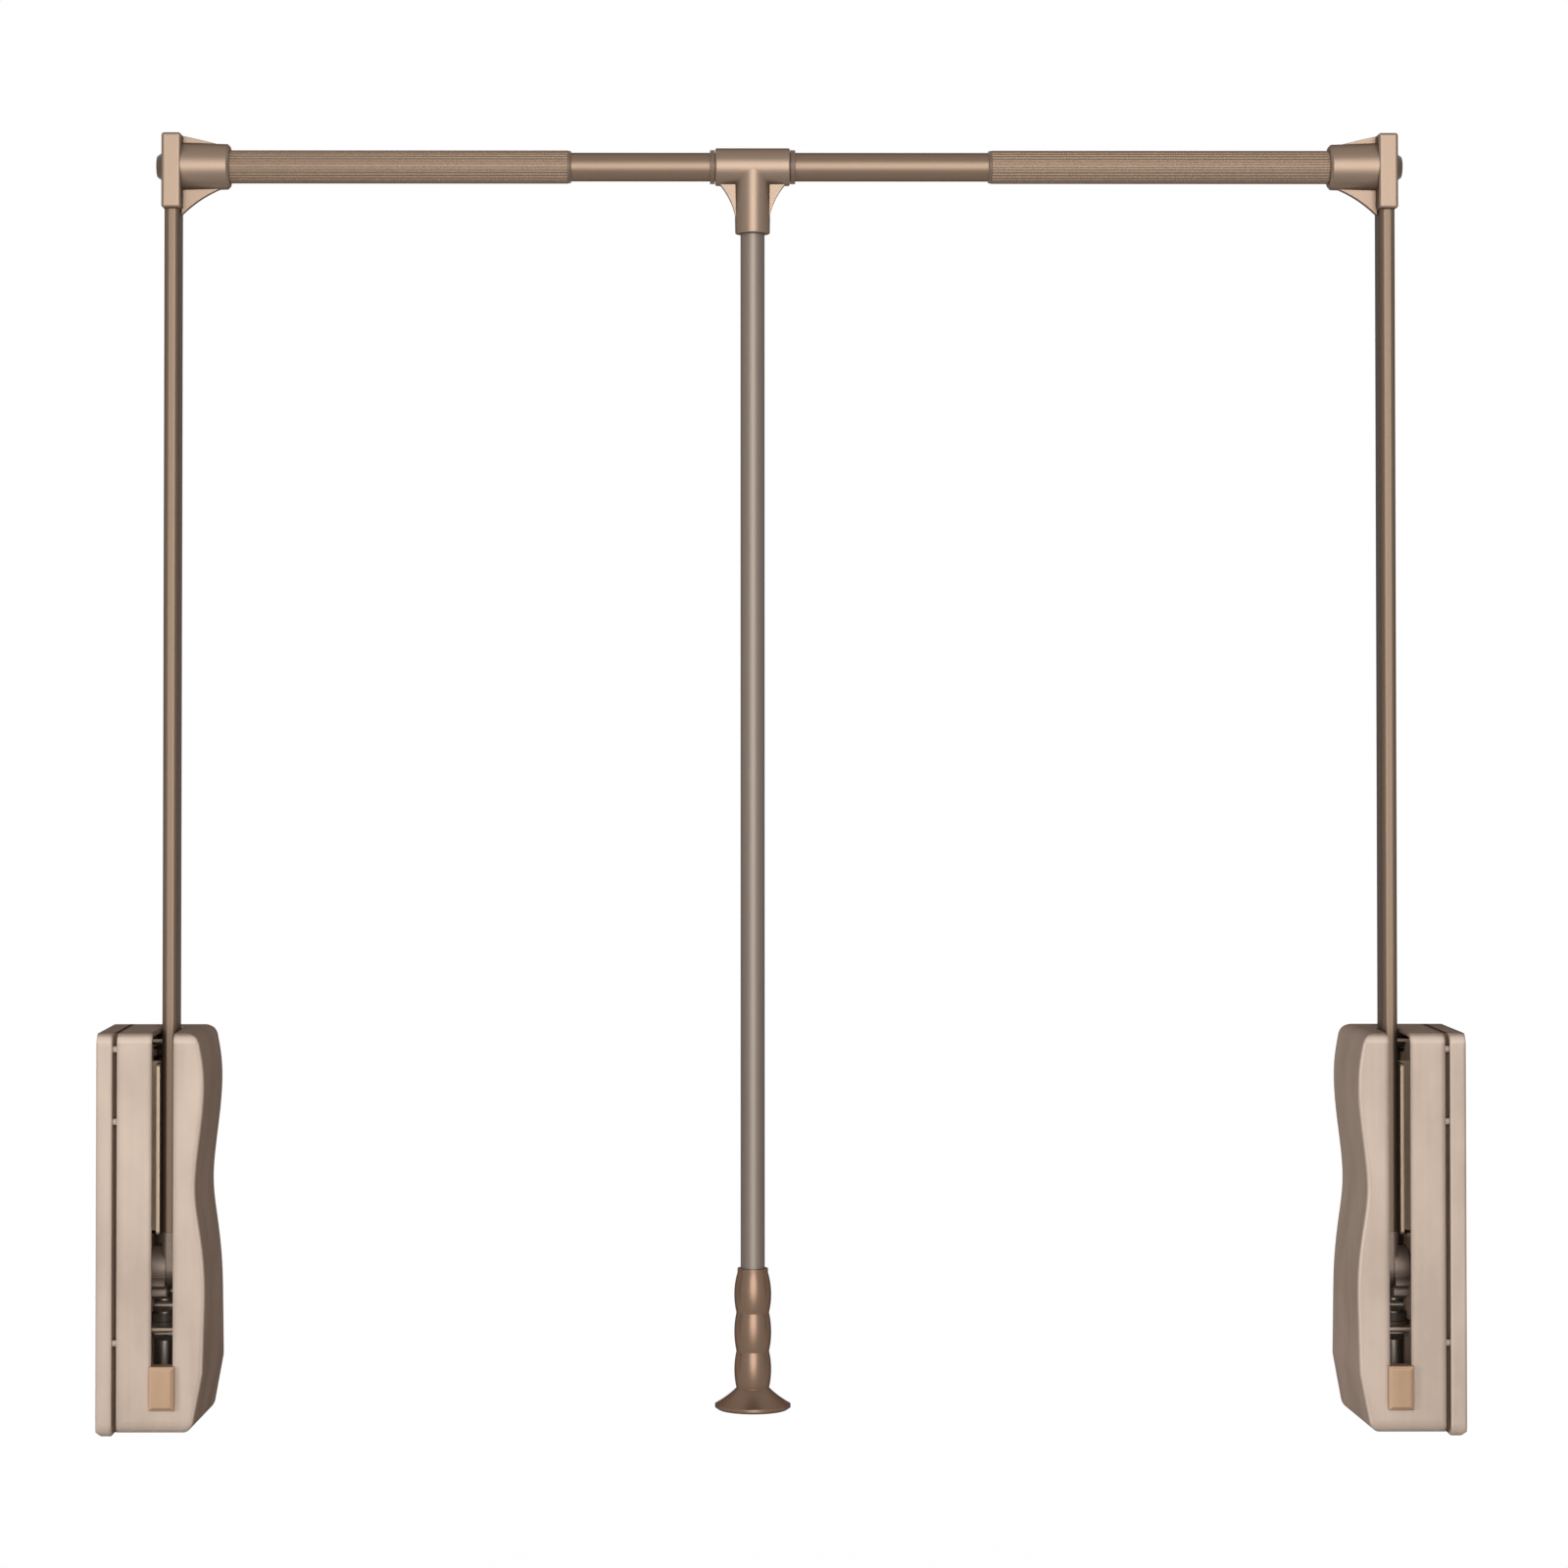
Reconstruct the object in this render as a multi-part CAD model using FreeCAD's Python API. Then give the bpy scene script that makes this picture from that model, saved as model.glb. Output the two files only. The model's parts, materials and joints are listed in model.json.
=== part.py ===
import FreeCAD, Part
import math
import os

Vec = FreeCAD.Vector

# Layout: the left wall is x = 0, the front is -y, and the origin is the centre of the left screw pattern
arm_spacing = 804.0
wall_to_arm = 43.0
rail_z = 699.0
pivot_foot = 102.0
swing_deg = 130.0

# Clearances, and the overrun that every cut uses
overrun = 2.0
tiny = 0.001
skin = 0.01
running_gap = 0.05
seat_gap = 0.1
slide_gap = 0.35
free_gap = 1.0

# Arm: a flat tube with rounded edges
arm_w = 10.0
arm_d = 25.0
arm_wall = 1.5
arm_corner_r = 3.5

# Housing: the side outline that plate and cover share
housing_depth = 94.0
housing_rise = 128.0
housing_drop = 131.0
housing_corner_r = 8.0

# Mounting plate with its raised land, wall screws and hook studs
plate_t = 10.3
plate_lip = 2.5
plate_edge_r = 1.5
plate_foot_bevel = 3.5
land_t = 3.1
land_front_inset = 8.0
land_back_inset = 3.0
wall_screw_d = 5.5
wall_screw_head_d = 10.5
wall_screw_inset = 15.0
wall_screw_z = 96.0
stud_d = 6.0
stud_head_d = 10.0
stud_head_t = 2.5
stud_inset = 13.0
stud_upper_z = 60.0
stud_lower_drop = 25.0
nib_w = 4.0
nib_inset = 0.8
nib_drops = (10.0, 57.0)
nib_foot = 58.5

# Housing cover: the wavy inner side is given by its crests, waist, skirt and heel,
# and the side leans out towards the back by the flares
cover_wall = 2.5
shoulder_x = 65.5
upper_crest_x = 69.3
upper_crest_drop = 23.0
waist_x = 64.2
waist_z = 28.0
lower_crest_x = 70.6
lower_crest_z = -48.0
skirt_x = 69.3
skirt_z = -93.0
heel_x = 61.7
side_flare = 1.6
skirt_flare = 3.6
heel_flare = 4.3
shoulder_r = 9.0
skirt_r = 14.0
heel_r = 9.0
cover_edge_r = 2.2
slot_side_play = 2.0
slot_back_play = 2.5
slot_foot = 18.5

# Stop block that the arm rests on when it is down
stop_w = 16.5
stop_foot = 15.5
stop_proud = 4.5
stop_bevel = 2.2
stop_stem_depth = 9.0

# Cover screws
cover_screw_d = 3.0
cover_screw_head_d = 6.0
cover_screw_length = 8.0
cover_screw_z = 80.0
cover_screw_inner_x = 24.0
cover_screw_outer_x = 48.0
cover_boss_d = 9.0
cover_boss_t = 1.5

# Chassis: a folded channel with shelves
sheet_t = 2.0
chassis_head = 8.0
chassis_foot = 15.0
chassis_front_inset = 5.0
cheek_x = 56.0
cheek_front_y = 16.0
cheek_back_y = 24.0
cheek_lobe_h = 26.0
cheek_corner_r = 7.0
bend_r = 3.0
shelf_front_y = 13.6
low_shelf_front_y = 4.0
mid_shelf_rise = 20.0
low_shelf_drop = 41.0
keyhole_drop = 12.0
access_hole_d = 13.0

# Arm guide: a folded strip beside the arm
guide_t = 2.4
guide_gap = 0.5
guide_front_y = 18.0
guide_back_y = 10.0
guide_rise = 23.0
guide_head = 22.0
guide_foot_y = 12.0

# Arm pivot
pin_d = 10.0
pin_head_d = 16.0
pin_head_t = 2.4
pin_tail = 3.0
circlip_t = 1.0
circlip_d = 16.0
circlip_groove_d = 8.6
circlip_mouth = 6.0
spacer_d = 15.0
bush_d = 13.0
bush_flange_d = 18.0
bush_flange_t = 1.0
bush_length = 8.0

# Toothed foot and rack rod
gear_module = 3.0
gear_teeth = 12
pressure_deg = 25.0
flank_gap = 0.12
gear_w = 10.0
first_tooth = -1
last_tooth = 5
addendum_share = 1.0
dedendum_share = 1.25
flank_shares = (0.0, 0.12, 0.35, 0.65, 1.0)
rack_offset = 7.0
hub_wall_side = 13.0
hub_room_side = 6.0
hub_r = 12.0
foot_shoulder = 24.0
tongue_length = 45.0
tongue_chamfer = 1.2
rod_d = 14.0
rod_foot = 10.0
rod_shoulder_rise = 23.5
rod_chamfer = 1.0
stem_d = 8.0
stem_length = 79.5

# Spring, its collar, upper seat and buffer
wire_d = 2.2
coil_d = 14.2
coil_pitch = 10.0
collar_d = 17.6
collar_t = 3.0
seat_d = 17.6
seat_t = 2.0
sleeve_d = 11.0
sleeve_length = 76.0
spigot_h = 3.0
buffer_gap = 0.3

# Lower rod guide
guide_bush_d = 18.0
guide_bush_rise = 8.0
guide_flange_d = 22.0
guide_flange_t = 2.5

# Damper beside the rack rod
damper_x = 49.5
damper_y = 33.0
damper_gap = 2.5
damper_d = 11.0
damper_wall = 1.4
damper_length = 57.0
damper_end = 2.6
damper_neck_d = 7.5
piston_rod_d = 4.0
piston_t = 4.0
piston_rise = 3.0
yoke_t = 6.0
yoke_wall = 3.0

# Rail brackets
bracket_w = 13.0
bracket_d = 33.0
bracket_rise = 21.0
bracket_drop = 29.0
bracket_edge_r = 2.0
arm_top_wall = 4.5
barrel_root_d = 32.0
barrel_mouth_d = 30.0
barrel_length = 31.0
barrel_floor = 5.5
barrel_chamfer = 1.6
web_t = 6.0
web_sink = 1.0
web_tip_inset = 3.0
web_root_drop = 32.0
web_sag_share = 0.44
crown_rise = 20.4
crown_sag_share = 0.52

# Rail bolt and end plug
bolt_d = 8.0
bolt_head_d = 20.0
bolt_head_t = 4.5
bolt_face_d = 14.0
bolt_head_r = 1.2
bolt_length = 38.0
hex_af = 6.0
hex_depth = 2.5
plug_length = 24.5

# Rail tubes
outer_tube_d = 22.0
outer_tube_wall = 0.9
outer_tube_length = 249.5
flute_count = 32
flute_depth = 0.4
flute_land_share = 0.45
inner_tube_d = 19.0
inner_tube_wall = 1.2
left_slack = 13.4
right_slack = 49.4
mouth_lip_d = 21.6
mouth_lip_t = 2.2
mouth_sleeve_length = 16.0
glide_t = 4.0
glide_plug_length = 12.0

# Tee, pull rod and grip
tee_offset = 18.0
tee_length = 49.4
tee_d = 25.0
tee_edge_r = 1.0
tee_collar_d = 22.6
tee_collar_w = 3.2
tee_bush_d = 21.4
stem_drop = 44.6
stem_root_d = 24.4
stem_end_d = 23.0
tee_web_t = 8.0
tee_web_drop = 40.0
tee_web_sag_share = 0.38
pull_rod_d = 16.0
pull_rod_wall = 1.2
pull_rod_seat = 26.0
grip_top_z = -30.0
grip_length = 92.5
grip_socket = 70.0
grip_lip_d = 20.2
grip_neck_d = 21.6
grip_bulge_d = 24.4
grip_flare_d = 50.0
grip_rim_t = 1.8
grip_base_d = 46.0
grip_bevel = 1.4
grip_lip_share = 0.03
grip_neck_shares = (0.315, 0.59, 0.85)
grip_flare_x_share = 0.45
grip_flare_z_share = 0.52

# Values that follow from the sizes above
rim_x = plate_t + land_t
web_y0 = damper_y + damper_d / 2 + damper_gap
web_y1 = web_y0 + sheet_t
back_y = web_y1 + cover_boss_t + cover_wall
front_y = back_y - housing_depth
plate_drop = housing_drop + plate_lip
nib_heights = [housing_rise - drop for drop in nib_drops] + [nib_foot - housing_drop]
wall_screw_rows = (front_y + wall_screw_inset, back_y - wall_screw_inset)
stud_rows = (front_y + stud_inset, back_y - stud_inset)
upper_crest_z = housing_rise - upper_crest_drop
slot_bottom_z = slot_foot - housing_drop
stop_bottom_z = stop_foot - housing_drop
chassis_rise = housing_rise - chassis_head
chassis_low_z = chassis_foot - housing_drop
pivot_z = pivot_foot - housing_drop
stud_lower_z = pivot_z - stud_lower_drop
mid_shelf_top_z = pivot_z + mid_shelf_rise
low_shelf_top_z = pivot_z - low_shelf_drop
guide_bottom_z = pivot_z + guide_rise
guide_top_z = housing_rise - guide_head
rod_bottom_z = rod_foot - housing_drop
rod_shoulder_z = pivot_z + rod_shoulder_rise
stem_top_z = rod_shoulder_z + stem_length
middle_x = wall_to_arm + arm_spacing / 2
pitch_r = gear_module * gear_teeth / 2
tooth_pitch = math.pi * gear_module
tip_r = pitch_r + addendum_share * gear_module
root_r = pitch_r - dedendum_share * gear_module
rack_travel = pitch_r * math.radians(swing_deg)
rod_x_at = wall_to_arm - rack_offset
rod_y_at = pitch_r - addendum_share * gear_module + rod_d / 2
base_x1 = rim_x + sheet_t
hub_x0 = wall_to_arm - hub_wall_side
hub_x1 = wall_to_arm + hub_room_side
collar_top_z = rod_shoulder_z + collar_t
seat_bottom_z = chassis_rise - sheet_t - seat_t
bracket_x1 = wall_to_arm + bracket_w / 2
bracket_x0 = wall_to_arm - bracket_w / 2
barrel_x1 = bracket_x1 + barrel_length
tube_x0 = bracket_x1 + barrel_floor
tube_x1 = tube_x0 + outer_tube_length
outer_tube_bore = outer_tube_d - 2 * outer_tube_wall
tee_x = middle_x - tee_offset
plug_x0 = tube_x0 + seat_gap
plug_x1 = plug_x0 + plug_length
inner_x0 = plug_x1 + left_slack + glide_t
inner_x1 = 2 * middle_x - plug_x1 - right_slack - glide_t


def box(x0, x1, y0, y1, z0, z1):
    return Part.makeBox(x1 - x0, y1 - y0, z1 - z0, Vec(x0, y0, z0))


def bar_x(x0, x1, d, y, z):
    return Part.makeCylinder(d / 2, x1 - x0, Vec(x0, y, z), Vec(1, 0, 0))


def bar_y(y0, y1, d, x, z):
    return Part.makeCylinder(d / 2, y1 - y0, Vec(x, y0, z), Vec(0, 1, 0))


def bar_z(z0, z1, d, x, y):
    return Part.makeCylinder(d / 2, z1 - z0, Vec(x, y, z0), Vec(0, 0, 1))


def cone_x(x0, x1, d0, d1, y, z):
    return Part.makeCone(d0 / 2, d1 / 2, x1 - x0, Vec(x0, y, z), Vec(1, 0, 0))


def cone_y(y0, y1, d0, d1, x, z):
    return Part.makeCone(d0 / 2, d1 / 2, y1 - y0, Vec(x, y0, z), Vec(0, 1, 0))


def bore_x(x0, x1, d, y, z):
    return bar_x(x0 - overrun, x1 + overrun, d, y, z)


def bore_y(y0, y1, d, x, z):
    return bar_y(y0 - overrun, y1 + overrun, d, x, z)


def bore_z(z0, z1, d, x, y):
    return bar_z(z0 - overrun, z1 + overrun, d, x, y)


def tube_x(x0, x1, outer_d, inner_d, y, z):
    return bar_x(x0, x1, outer_d, y, z).cut(bore_x(x0, x1, inner_d, y, z))


def tube_z(z0, z1, outer_d, inner_d, x, y):
    return bar_z(z0, z1, outer_d, x, y).cut(bore_z(z0, z1, inner_d, x, y))


def round_where(shape, radius, wanted):
    return shape.makeFillet(radius, [edge for edge in shape.Edges if wanted(edge)])


def bevel_where(shape, size, wanted):
    return shape.makeChamfer(size, [edge for edge in shape.Edges if wanted(edge)])


def runs_along(edge, axis):
    """True for an edge whose box has length only along one axis: 0 is x, 1 is y, 2 is z."""
    b = edge.BoundBox
    sizes = [b.XLength, b.YLength, b.ZLength]
    return sizes[axis] > tiny and all(s < tiny for i, s in enumerate(sizes) if i != axis)


def lies_at(edge, axis, value):
    """True for an edge that lies in the plane where one coordinate has this value."""
    b = edge.BoundBox
    low = (b.XMin, b.YMin, b.ZMin)[axis]
    high = (b.XMax, b.YMax, b.ZMax)[axis]
    return abs(low - value) < tiny and abs(high - value) < tiny


def plate_shape(points, depth_axis, thickness):
    """A flat piece from an outline of lines, centred on its plane and pulled out along an axis."""
    face = Part.Face(Part.makePolygon(points + points[:1]))
    face.translate(depth_axis * (-thickness / 2))
    return face.extrude(depth_axis * thickness)


def gusset(corner, along, down, sag_share, thickness):
    """A web in the x-z plane: two straight sides from a corner and a hollow curve between their ends."""
    tip = corner + along
    root = corner + down
    middle = corner + along * sag_share + down * sag_share
    curve = Part.Arc(tip, middle, root).toShape()
    wire = Part.Wire([Part.makeLine(corner, tip), curve, Part.makeLine(root, corner)])
    web = Part.Face(wire)
    web.translate(Vec(0, -thickness / 2, 0))
    return web.extrude(Vec(0, thickness, 0))


def arm_bar(width, depth, corner_r, z0, z1):
    bar = box(wall_to_arm - width / 2, wall_to_arm + width / 2, -depth / 2, depth / 2, z0, z1)
    return round_where(bar, corner_r, lambda edge: runs_along(edge, 2))


# Height of the lowered arm's underside, at a given distance in front of the pivot
droop = math.radians(swing_deg - 90)


def underside_z(reach):
    return pivot_z - reach * math.tan(droop) - arm_d / 2 / math.cos(droop)


stop_face_y = front_y - stop_proud
stop_top_z = underside_z(-stop_face_y - stop_bevel) - slide_gap / math.cos(droop)


# Mounting plate
def housing_bar(x0, x1, inset, drop):
    """A bar along x with the housing's side outline, drawn in by an inset."""
    bar = box(x0, x1, front_y + inset, back_y - inset, inset - drop, housing_rise - inset)
    return round_where(bar, housing_corner_r - inset, lambda edge: runs_along(edge, 0))


def mounting_plate():
    plate = housing_bar(0, plate_t, 0, plate_drop)
    plate = round_where(plate, plate_edge_r, lambda edge: lies_at(edge, 0, plate_t))
    low_z = -plate_drop - overrun
    reach = plate_foot_bevel + 2 * overrun
    y = (front_y + back_y) / 2
    wedge = [Vec(-overrun, y, low_z), Vec(reach - overrun, y, low_z), Vec(-overrun, y, low_z + reach)]
    plate = plate.cut(plate_shape(wedge, Vec(0, 1, 0), housing_depth + overrun))
    land_x0 = plate_t - plate_edge_r
    land_y0 = front_y + land_front_inset
    land_y1 = back_y - land_back_inset
    land = housing_bar(land_x0, rim_x, 0, housing_drop)
    plate = plate.fuse(land.common(box(land_x0, rim_x, land_y0, land_y1, -plate_drop, housing_rise)))
    nib_y = front_y + plate_edge_r + nib_inset
    for z in nib_heights:
        plate = plate.fuse(box(land_x0, rim_x, nib_y, land_y0 + overrun, z - nib_w / 2, z + nib_w / 2))
    sink = (wall_screw_head_d - wall_screw_d) / 2
    for y in wall_screw_rows:
        for z in (-wall_screw_z, wall_screw_z):
            plate = plate.cut(bore_x(0, rim_x, wall_screw_d, y, z))
            plate = plate.cut(cone_x(rim_x - sink, rim_x, wall_screw_d, wall_screw_head_d, y, z))
    neck_x1 = base_x1 + slide_gap
    for y in stud_rows:
        for z in (stud_lower_z, stud_upper_z):
            plate = plate.fuse(bar_x(plate_t, neck_x1, stud_d, y, z))
            plate = plate.fuse(bar_x(neck_x1, neck_x1 + stud_head_t, stud_head_d, y, z))
    recess_d = pin_head_d + 2 * slide_gap
    return plate.cut(bar_x(rim_x - pin_head_t - slide_gap, rim_x + overrun, recess_d, 0, pivot_z))


# Housing cover
def cover_corners(inset, back):
    """Corners of the cover's outline on its front or back, drawn in by an inset.

    They lie a skin's thickness outside the housing's bar, which trims the block to its true faces.
    """
    inset = inset - skin
    y = back_y - inset if back else front_y + inset
    flares = (side_flare, skirt_flare, heel_flare) if back else (0, 0, 0)
    side, skirt, heel = flares
    return [
        Vec(shoulder_x + side - inset, y, housing_rise - inset),
        Vec(upper_crest_x + side - inset, y, upper_crest_z),
        Vec(waist_x + side - inset, y, waist_z),
        Vec(lower_crest_x + side - inset, y, lower_crest_z),
        Vec(skirt_x + skirt - inset, y, skirt_z),
        Vec(heel_x + heel - inset, y, inset - housing_drop),
    ]


def cover_outline(corners, rim):
    shoulder, upper, waist, crest, skirt, heel = corners
    wave = Part.BSplineCurve()
    wave.interpolate(
        Points=[shoulder, upper, waist, crest],
        InitialTangent=upper - shoulder,
        FinalTangent=skirt - crest,
    )
    top_rim = Vec(rim, shoulder.y, shoulder.z)
    low_rim = Vec(rim, heel.y, heel.z)
    edges = [Part.makeLine(top_rim, shoulder), wave.toShape(), Part.makeLine(crest, skirt)]
    edges += [Part.makeLine(skirt, heel), Part.makeLine(heel, low_rim), Part.makeLine(low_rim, top_rim)]
    return Part.Wire(edges)


def cover_block(inset, rim):
    """The cover's outline, drawn in by an inset and stretched from the front to the back."""
    front = cover_corners(inset, False)
    back = cover_corners(inset, True)
    block = Part.makeLoft([cover_outline(front, rim), cover_outline(back, rim)], True, True)
    for index, radius in ((0, shoulder_r), (4, skirt_r), (5, heel_r)):
        middle = (front[index] + back[index]) * (1 / 2)
        block = round_where(block, radius - inset, lambda edge: (edge.CenterOfMass - middle).Length < tiny)
    return block


def housing_cover():
    def front_or_back(edge):
        on_face = lies_at(edge, 1, front_y - skin) or lies_at(edge, 1, back_y + skin)
        return on_face and not lies_at(edge, 0, rim_x)

    far_x = lower_crest_x + skirt_flare + overrun
    cover = round_where(cover_block(0, rim_x), cover_edge_r, front_or_back)
    cover = cover.common(housing_bar(rim_x - overrun, far_x, 0, housing_drop))
    inside = cover_block(cover_wall, rim_x - overrun)
    cover = cover.cut(inside.common(housing_bar(rim_x - 2 * overrun, far_x, cover_wall, housing_drop)))
    slot_half = arm_w / 2 + slot_side_play
    slot_back = arm_d / 2 + slot_back_play
    slot_x0 = wall_to_arm - slot_half
    slot_x1 = wall_to_arm + slot_half
    slot_front = front_y - overrun
    cover = cover.cut(box(slot_x0, slot_x1, slot_front, slot_back, slot_bottom_z, housing_rise + overrun))
    sink_y = back_y - (cover_screw_head_d - cover_screw_d) / 2
    hole_d = cover_screw_d + 2 * seat_gap
    head_d = cover_screw_head_d + 2 * seat_gap
    for x in (cover_screw_inner_x, cover_screw_outer_x):
        for z in (-cover_screw_z, cover_screw_z):
            cover = cover.fuse(bar_y(web_y1, back_y - cover_wall, cover_boss_d, x, z))
            cover = cover.cut(bore_y(web_y1, back_y, hole_d, x, z))
            cover = cover.cut(cone_y(sink_y, back_y, hole_d, head_d, x, z))
    return cover


def cover_screws():
    screws = []
    sink_y = back_y - (cover_screw_head_d - cover_screw_d) / 2
    for x in (cover_screw_inner_x, cover_screw_outer_x):
        for z in (-cover_screw_z, cover_screw_z):
            head = cone_y(sink_y, back_y, cover_screw_d, cover_screw_head_d, x, z)
            screws.append(head.fuse(bar_y(back_y - cover_screw_length, sink_y, cover_screw_d, x, z)))
    return Part.makeCompound(screws)


def stop_block():
    pad_x0 = wall_to_arm - stop_w / 2
    pad = box(pad_x0, pad_x0 + stop_w, stop_face_y, front_y, stop_bottom_z, stop_top_z)
    pad = bevel_where(pad, stop_bevel, lambda edge: lies_at(edge, 1, stop_face_y))
    stem_half = arm_w / 2 + slot_side_play - seat_gap
    stem = box(
        wall_to_arm - stem_half,
        wall_to_arm + stem_half,
        front_y - tiny,
        front_y + stop_stem_depth,
        slot_bottom_z + seat_gap,
        stop_top_z,
    )
    return pad.fuse(stem).removeSplitter()


# Chassis and arm guide
def chassis():
    x1 = cheek_x + sheet_t
    channel = box(rim_x, x1, front_y + chassis_front_inset, web_y1, chassis_low_z, chassis_rise)
    channel = round_where(channel, bend_r, lambda edge: runs_along(edge, 2) and lies_at(edge, 1, web_y1))
    cut_y = front_y - overrun
    low_z = chassis_low_z - overrun
    high_z = chassis_rise + overrun
    inside = box(base_x1, cheek_x, cut_y, web_y0, low_z, high_z)
    inside_r = bend_r - sheet_t
    inside = round_where(inside, inside_r, lambda edge: runs_along(edge, 2) and lies_at(edge, 1, web_y0))
    channel = channel.cut(inside)
    for z0, z1, front in (
        (low_z, pivot_z - cheek_lobe_h, cheek_back_y),
        (pivot_z - cheek_lobe_h, pivot_z + cheek_lobe_h, -cheek_front_y),
        (pivot_z + cheek_lobe_h, high_z, cheek_back_y),
    ):
        channel = channel.cut(box(cheek_x - tiny, x1 + overrun, cut_y, front, z0, z1))
    channel = round_where(
        channel, cheek_corner_r, lambda edge: runs_along(edge, 0) and lies_at(edge, 1, -cheek_front_y)
    )
    shelves = (
        (chassis_rise, shelf_front_y),
        (mid_shelf_top_z, shelf_front_y),
        (low_shelf_top_z, low_shelf_front_y),
    )
    for top, front in shelves:
        channel = channel.fuse(box(base_x1 - tiny, cheek_x + tiny, front, web_y0 + tiny, top - sheet_t, top))
    notch = rod_d + 2 * free_gap
    notch_x0 = rod_x_at - notch / 2
    mid_z0 = mid_shelf_top_z - sheet_t - overrun
    mid_z1 = mid_shelf_top_z + overrun
    low_z0 = low_shelf_top_z - sheet_t
    holes = [box(notch_x0, notch_x0 + notch, shelf_front_y - overrun, rod_y_at, mid_z0, mid_z1)]
    holes.append(bar_z(mid_z0, mid_z1, notch, rod_x_at, rod_y_at))
    holes.append(bore_z(low_z0, low_shelf_top_z, guide_bush_d + 2 * seat_gap, rod_x_at, rod_y_at))
    holes.append(bore_z(low_z0, low_shelf_top_z, damper_neck_d + 2 * seat_gap, damper_x, damper_y))
    holes.append(bore_z(chassis_rise - sheet_t, chassis_rise, sleeve_d + 2 * seat_gap, rod_x_at, rod_y_at))
    holes.append(bore_x(rim_x, x1, pin_d + 2 * seat_gap, 0, pivot_z))
    for y in wall_screw_rows:
        for z in (-wall_screw_z, wall_screw_z):
            holes.append(bore_x(rim_x, base_x1, access_hole_d, y, z))
    neck = stud_d + 2 * slide_gap
    for y in stud_rows:
        for z in (stud_lower_z, stud_upper_z):
            entry = z - keyhole_drop
            holes.append(bore_x(rim_x, base_x1, neck, y, z))
            holes.append(box(rim_x - overrun, base_x1 + overrun, y - neck / 2, y + neck / 2, entry, z))
            holes.append(bore_x(rim_x, base_x1, stud_head_d + free_gap, y, entry))
    for x in (cover_screw_inner_x, cover_screw_outer_x):
        for z in (-cover_screw_z, cover_screw_z):
            holes.append(bore_y(web_y0, web_y1, cover_screw_d + 2 * seat_gap, x, z))
    return channel.cut(Part.makeCompound(holes)).removeSplitter()


def arm_guide():
    lip_x1 = wall_to_arm - arm_w / 2 - guide_gap
    lip_x0 = lip_x1 - guide_t
    lip = box(lip_x0, lip_x1, -guide_front_y, guide_back_y, guide_bottom_z, guide_top_z)
    lip = round_where(lip, guide_t, lambda edge: runs_along(edge, 0) and lies_at(edge, 1, -guide_front_y))
    bridge = box(base_x1, lip_x1, guide_back_y - sheet_t, guide_back_y, guide_bottom_z, guide_top_z)
    foot_y0 = guide_back_y - guide_foot_y
    foot = box(base_x1, base_x1 + sheet_t, foot_y0, guide_back_y, guide_bottom_z, guide_top_z)
    return lip.fuse([bridge, foot]).removeSplitter()


# Arm pivot
def pivot_pin():
    end = cheek_x + sheet_t + pin_tail
    head = bar_x(rim_x - pin_head_t, rim_x, pin_head_d, 0, pivot_z)
    pin = head.fuse(bar_x(rim_x, end, pin_d, 0, pivot_z))
    pin = bevel_where(pin, rod_chamfer, lambda edge: lies_at(edge, 0, end))
    groove_x0 = cheek_x + sheet_t + slide_gap - running_gap
    groove_x1 = groove_x0 + circlip_t + 2 * running_gap
    return pin.cut(tube_x(groove_x0, groove_x1, pin_d + overrun, circlip_groove_d, 0, pivot_z))


def pivot_circlip():
    x0 = cheek_x + sheet_t + slide_gap
    x1 = x0 + circlip_t
    ring = tube_x(x0, x1, circlip_d, circlip_groove_d + 2 * seat_gap, 0, pivot_z)
    half = circlip_mouth / 2
    return ring.cut(box(x0 - overrun, x1 + overrun, -half, half, pivot_z - circlip_d, pivot_z))


def pivot_spacers():
    bore = pin_d + 2 * seat_gap
    wall_end = hub_x0 - bush_flange_t - slide_gap
    room_end = hub_x1 + bush_flange_t + slide_gap
    return Part.makeCompound(
        [
            tube_x(base_x1, wall_end, spacer_d, bore, 0, pivot_z),
            tube_x(room_end, cheek_x, spacer_d, bore, 0, pivot_z),
        ]
    )


def foot_bushes():
    bore = pin_d + 2 * running_gap
    bushes = []
    for x0, x1, f0, f1 in (
        (hub_x0, hub_x0 + bush_length, hub_x0 - bush_flange_t, hub_x0),
        (hub_x1 - bush_length, hub_x1, hub_x1, hub_x1 + bush_flange_t),
    ):
        body = bar_x(x0, x1, bush_d, 0, pivot_z).fuse(bar_x(f0, f1, bush_flange_d, 0, pivot_z))
        bushes.append(body.cut(bore_x(min(x0, f0), max(x1, f1), bore, 0, pivot_z)))
    return Part.makeCompound(bushes)


# Toothed foot of the arm
def involute(angle):
    return math.tan(angle) - angle


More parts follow.
